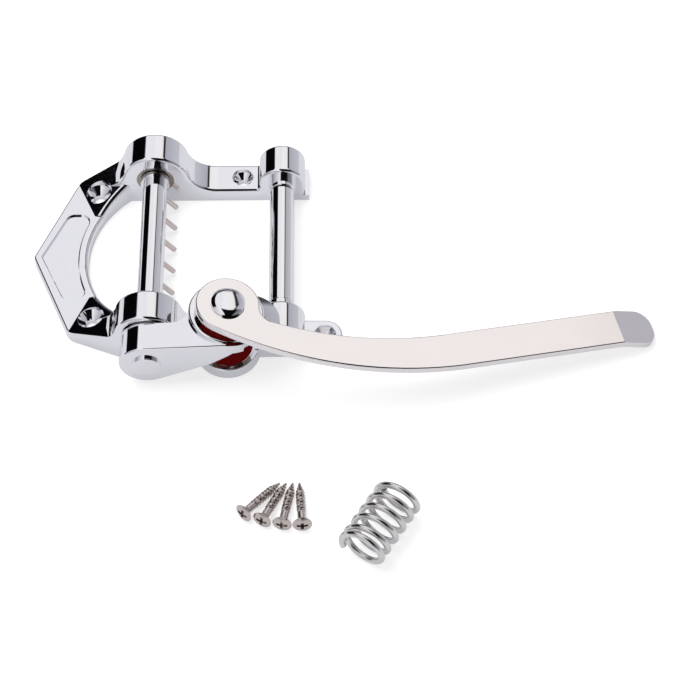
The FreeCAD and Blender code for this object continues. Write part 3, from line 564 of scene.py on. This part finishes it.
class TAILPIECE_OT_spring(bpy.types.Operator):
    """Winds the loose return spring"""

    bl_idname = "tailpiece.spring"
    bl_label = "Return spring"

    def execute(self, context):
        sizes = context.scene.tailpiece_spring
        # Bright drawn wire: a soft silver line along each turn, a little uneven from the die.
        finish = plated("bright_drawn_wire", context.scene.tailpiece_finish.wire, rough=0.16, wave_mm=1.2,
                        wave_height_mm=0.006, haze_mm=(1.0, 1.0, 1.0), rough_spread=0.1)
        inputs = {"Wire": sizes.wire_d, "Coil": sizes.coil_d, "Pitch": sizes.pitch}
        spring = grown(spring_tree(finish, sizes), "wound_return_spring", inputs)
        spring.data.transform(Matrix.Translation((sizes.x, sizes.y, sizes.coil_d / 2))
                              @ Matrix.Rotation(sizes.heading, 4, "Z"))
        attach(spring, "base")
        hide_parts("return_spring")
        return {"FINISHED"}


class TAILPIECE_OT_screws(bpy.types.Operator):
    """Turns and threads the loose wood screws"""

    bl_idname = "tailpiece.screws"
    bl_label = "Wood screws"

    def execute(self, context):
        sizes = context.scene.tailpiece_screw
        # Nickel plate on rolled threads: a warm grey that breaks into small glints from crest to crest.
        finish = plated("bright_nickel_plate", context.scene.tailpiece_finish.nickel, rough=0.14, wave_mm=1.0,
                        wave_height_mm=0.004, haze_mm=(0.8, 0.8, 0.8), rough_spread=0.1)
        inputs = {"Pitch": sizes.pitch, "Root": sizes.root_d, "Thread": sizes.thread_d}
        screws = grown(screw_tree(finish, sizes), "threaded_wood_screws", inputs, turned_screw(sizes))
        lowest = min(vertex.co.z for vertex in screws.data.vertices)
        screws.data.transform(Matrix.Translation((0.0, 0.0, sizes.lift - lowest)))
        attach(screws, "base")
        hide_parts("mounting_screws")
        return {"FINISHED"}


FLOOR_REACH = 6.0
FLOOR_GLOW = 0.68
MIRRORED_FLOOR_GLOW = 0.55
FLOOR_MATT_SHARE = 0.5

# The studio's walls round the Y axis, behind and in front of the part: white reflectors with dark flags
# between them. Each stop has its angle in degrees from straight up towards +X.
BACK_BANDS = ((-180, "#F4F4F6"), (-110, "#A0A0A6"), (-106, "#060608"), (-37, "#060608"), (-34, "#F2F2F4"),
              (-6, "#EFEFF3"), (4, "#F8F7F8"), (24, "#F8F4F3"), (28, "#E4DEDB"), (29, "#2C2C30"),
              (35, "#2C2C30"), (37, "#B0B0B9"), (88, "#C6C6CE"), (95, "#34343A"), (101, "#F4F4F6"),
              (180, "#F4F4F6"))
FRONT_BANDS = ((-180, "#F4F4F6"), (-95, "#E8E8EC"), (-90, "#8C8C92"), (-55, "#D0D0D6"), (-20, "#F8F8FA"),
               (-14, "#FCFCFC"), (-11, "#0C0C0E"), (42, "#0C0C0E"), (56, "#7C7C82"), (90, "#94949A"),
               (96, "#F4F4F6"), (180, "#F4F4F6"))
REAR_WALL = "#4C4C50"
BACKDROP = "#FFFFFF"
# Limits along Y, on a sphere of radius 1: half the soft seam between front and back, and where the rear
# wall starts and is full.
SEAM_HALF = 0.05
REAR_WALL_START = 0.84
REAR_WALL_FULL = 0.92

SOFTBOX_WIDTH = 0.9
SOFTBOX_DEPTH = 0.7
SOFTBOX_WATTS = 7.0
SOFTBOX_PLACE = Vector((-0.25, 0.1, 0.9))
SOFTBOX_AIM = Vector((0.06, -0.04, 0.0))

CAMERA_PLACE = (0.08855, -0.52053, 0.68046)
SENSOR_MM = 36.0
CLIP_NEAR = 0.01
CLIP_FAR = 50.0


def white_table(sizes):
    """A white table: clean white with faint shadows to the camera, a cool grey in the metal's mirror."""
    material = bpy.data.materials.new("white_table")
    material.use_nodes = True
    tree = material.node_tree
    tree.nodes.clear()
    looks = []
    for colour, strength in ((sizes.mirrored_floor, MIRRORED_FLOOR_GLOW), (sizes.floor, FLOOR_GLOW)):
        glow = node(tree, "ShaderNodeEmission", {"Color": shaded(colour), "Strength": strength})
        matt = node(tree, "ShaderNodeBsdfDiffuse", {"Color": shaded(colour, FLOOR_MATT_SHARE)})
        looks.append(node(tree, "ShaderNodeAddShader", {0: glow.outputs[0], 1: matt.outputs[0]}).outputs[0])
    mirrored, plain = looks
    seen = node(tree, "ShaderNodeLightPath")
    shown = node(tree, "ShaderNodeMixShader", {0: seen.outputs["Is Camera Ray"], 1: mirrored, 2: plain})
    node(tree, "ShaderNodeOutputMaterial", {"Surface": shown.outputs[0]})
    return material


def lay_floor(sizes):
    """The floor, one large square under the part."""
    mesh = bpy.data.meshes.new("floor")
    corners = [(x * FLOOR_REACH, y * FLOOR_REACH, 0) for x, y in ((-1, -1), (1, -1), (1, 1), (-1, 1))]
    mesh.from_pydata(corners, [], [(0, 1, 2, 3)])
    floor = link_mesh(mesh, "floor")
    mesh.materials.append(white_table(sizes))


def band_ramp(tree, angle, stops):
    """A colour ramp over an angle of -180 to 180 degrees, from (degrees, hex colour) stops."""
    share = node(tree, "ShaderNodeMapRange", {"Value": angle, "From Min": -math.pi, "From Max": math.pi})
    ramp = node(tree, "ShaderNodeValToRGB", {"Fac": share.outputs["Result"]})
    elements = ramp.color_ramp.elements
    while len(elements) < len(stops):
        elements.new(0.5)
    for element, (degrees, colour) in zip(elements, stops):
        element.position = (degrees + 180.0) / 360.0
        element.color = linear(colour)
    return ramp.outputs["Color"]


def build_studio(scene):
    """The room that the metal mirrors, and a plain white backdrop for the camera."""
    world = bpy.data.worlds.new("studio")
    scene.world = world
    world.use_nodes = True
    tree = world.node_tree
    tree.nodes.clear()
    direction = node(tree, "ShaderNodeTexCoord").outputs["Generated"]
    way = node(tree, "ShaderNodeSeparateXYZ", {"Vector": direction})
    round_y = node(tree, "ShaderNodeMath", {0: way.outputs["X"], 1: way.outputs["Z"]},
                   operation="ARCTAN2").outputs[0]
    front = node(tree, "ShaderNodeMapRange", {"Value": way.outputs["Y"], "From Min": SEAM_HALF,
                                              "From Max": -SEAM_HALF})
    bands = node(tree, "ShaderNodeMix", {"Factor": front.outputs["Result"],
                                         "A": band_ramp(tree, round_y, BACK_BANDS),
                                         "B": band_ramp(tree, round_y, FRONT_BANDS)}, data_type="RGBA")
    rear = node(tree, "ShaderNodeMapRange", {"Value": way.outputs["Y"], "From Min": REAR_WALL_START,
                                             "From Max": REAR_WALL_FULL})
    room = node(tree, "ShaderNodeMix", {"Factor": rear.outputs["Result"], "A": bands.outputs["Result"],
                                        "B": linear(REAR_WALL)}, data_type="RGBA")
    seen = node(tree, "ShaderNodeLightPath")
    plain = node(tree, "ShaderNodeMix", {"Factor": seen.outputs["Is Camera Ray"],
                                         "A": room.outputs["Result"],
                                         "B": linear(BACKDROP)}, data_type="RGBA")
    sky = node(tree, "ShaderNodeBackground", {"Color": plain.outputs["Result"], "Strength": 1.0})
    node(tree, "ShaderNodeOutputWorld", {"Surface": sky.outputs["Background"]})


def hang_softbox(scene):
    """One soft lamp overhead, which the metal doesn't mirror."""
    lamp = bpy.data.lights.new("overhead_softbox", "AREA")
    lamp.shape = "RECTANGLE"
    lamp.size = SOFTBOX_WIDTH
    lamp.size_y = SOFTBOX_DEPTH
    lamp.energy = SOFTBOX_WATTS
    light = bpy.data.objects.new("overhead_softbox", lamp)
    light.location = SOFTBOX_PLACE
    light.rotation_euler = (SOFTBOX_AIM - SOFTBOX_PLACE).to_track_quat("-Z", "Y").to_euler()
    light.visible_glossy = False
    scene.collection.objects.link(light)


def set_camera(scene, sizes):
    """The camera, in front of the part and above it."""
    camera = bpy.data.cameras.new("camera")
    camera.lens = sizes.lens
    camera.sensor_width = SENSOR_MM
    camera.clip_start = CLIP_NEAR
    camera.clip_end = CLIP_FAR
    holder = bpy.data.objects.new("camera", camera)
    holder.location = CAMERA_PLACE
    holder.rotation_euler = Euler((sizes.tilt, 0.0, sizes.heading), "XYZ")
    scene.collection.objects.link(holder)
    scene.camera = holder
    scene.view_settings.view_transform = "Standard"


class TAILPIECE_OT_stage(bpy.types.Operator):
    """Lays the floor, hangs the studio light and sets up the camera"""

    bl_idname = "tailpiece.stage"
    bl_label = "Floor, light and camera"

    def execute(self, context):
        scene = context.scene
        sizes = scene.tailpiece_stage
        lay_floor(sizes)
        build_studio(scene)
        hang_softbox(scene)
        set_camera(scene, sizes)
        return {"FINISHED"}


GROUPS = {"tailpiece_finish": TailpieceFinish, "tailpiece_spring": TailpieceSpring,
          "tailpiece_screw": TailpieceScrew, "tailpiece_stage": TailpieceStage}
OPERATORS = (TAILPIECE_OT_casting, TAILPIECE_OT_rods, TAILPIECE_OT_handle, TAILPIECE_OT_bearings,
             TAILPIECE_OT_pins, TAILPIECE_OT_fibre, TAILPIECE_OT_spring, TAILPIECE_OT_screws,
             TAILPIECE_OT_stage)


class TAILPIECE_PT_panel(bpy.types.Panel):
    """The tailpiece's pieces, sizes and colours"""

    bl_idname = "TAILPIECE_PT_panel"
    bl_label = "Vibrato tailpiece"
    bl_space_type = "VIEW_3D"
    bl_region_type = "UI"
    bl_category = "Tailpiece"

    def draw(self, context):
        for operator in OPERATORS:
            self.layout.operator(operator.bl_idname)
        for group in GROUPS:
            box = self.layout.box()
            holder = getattr(context.scene, group)
            for key in holder.bl_rna.properties.keys():
                if key not in ("rna_type", "name"):
                    box.prop(holder, key)


CLASSES = (*GROUPS.values(), *OPERATORS, TAILPIECE_PT_panel)


def register():
    """Adds the classes, and the sizes and colours to the scene."""
    for made in CLASSES:
        bpy.utils.register_class(made)
    for key, group in GROUPS.items():
        setattr(bpy.types.Scene, key, bpy.props.PointerProperty(type=group))


def unregister():
    """Takes away what register added."""
    for key in GROUPS:
        delattr(bpy.types.Scene, key)
    for made in reversed(CLASSES):
        bpy.utils.unregister_class(made)


def main():
    """Registers the add-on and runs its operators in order."""
    register()
    for operator in OPERATORS:
        group, action = operator.bl_idname.split(".")
        getattr(getattr(bpy.ops, group), action)()


if __name__ == "__main__":
    main()
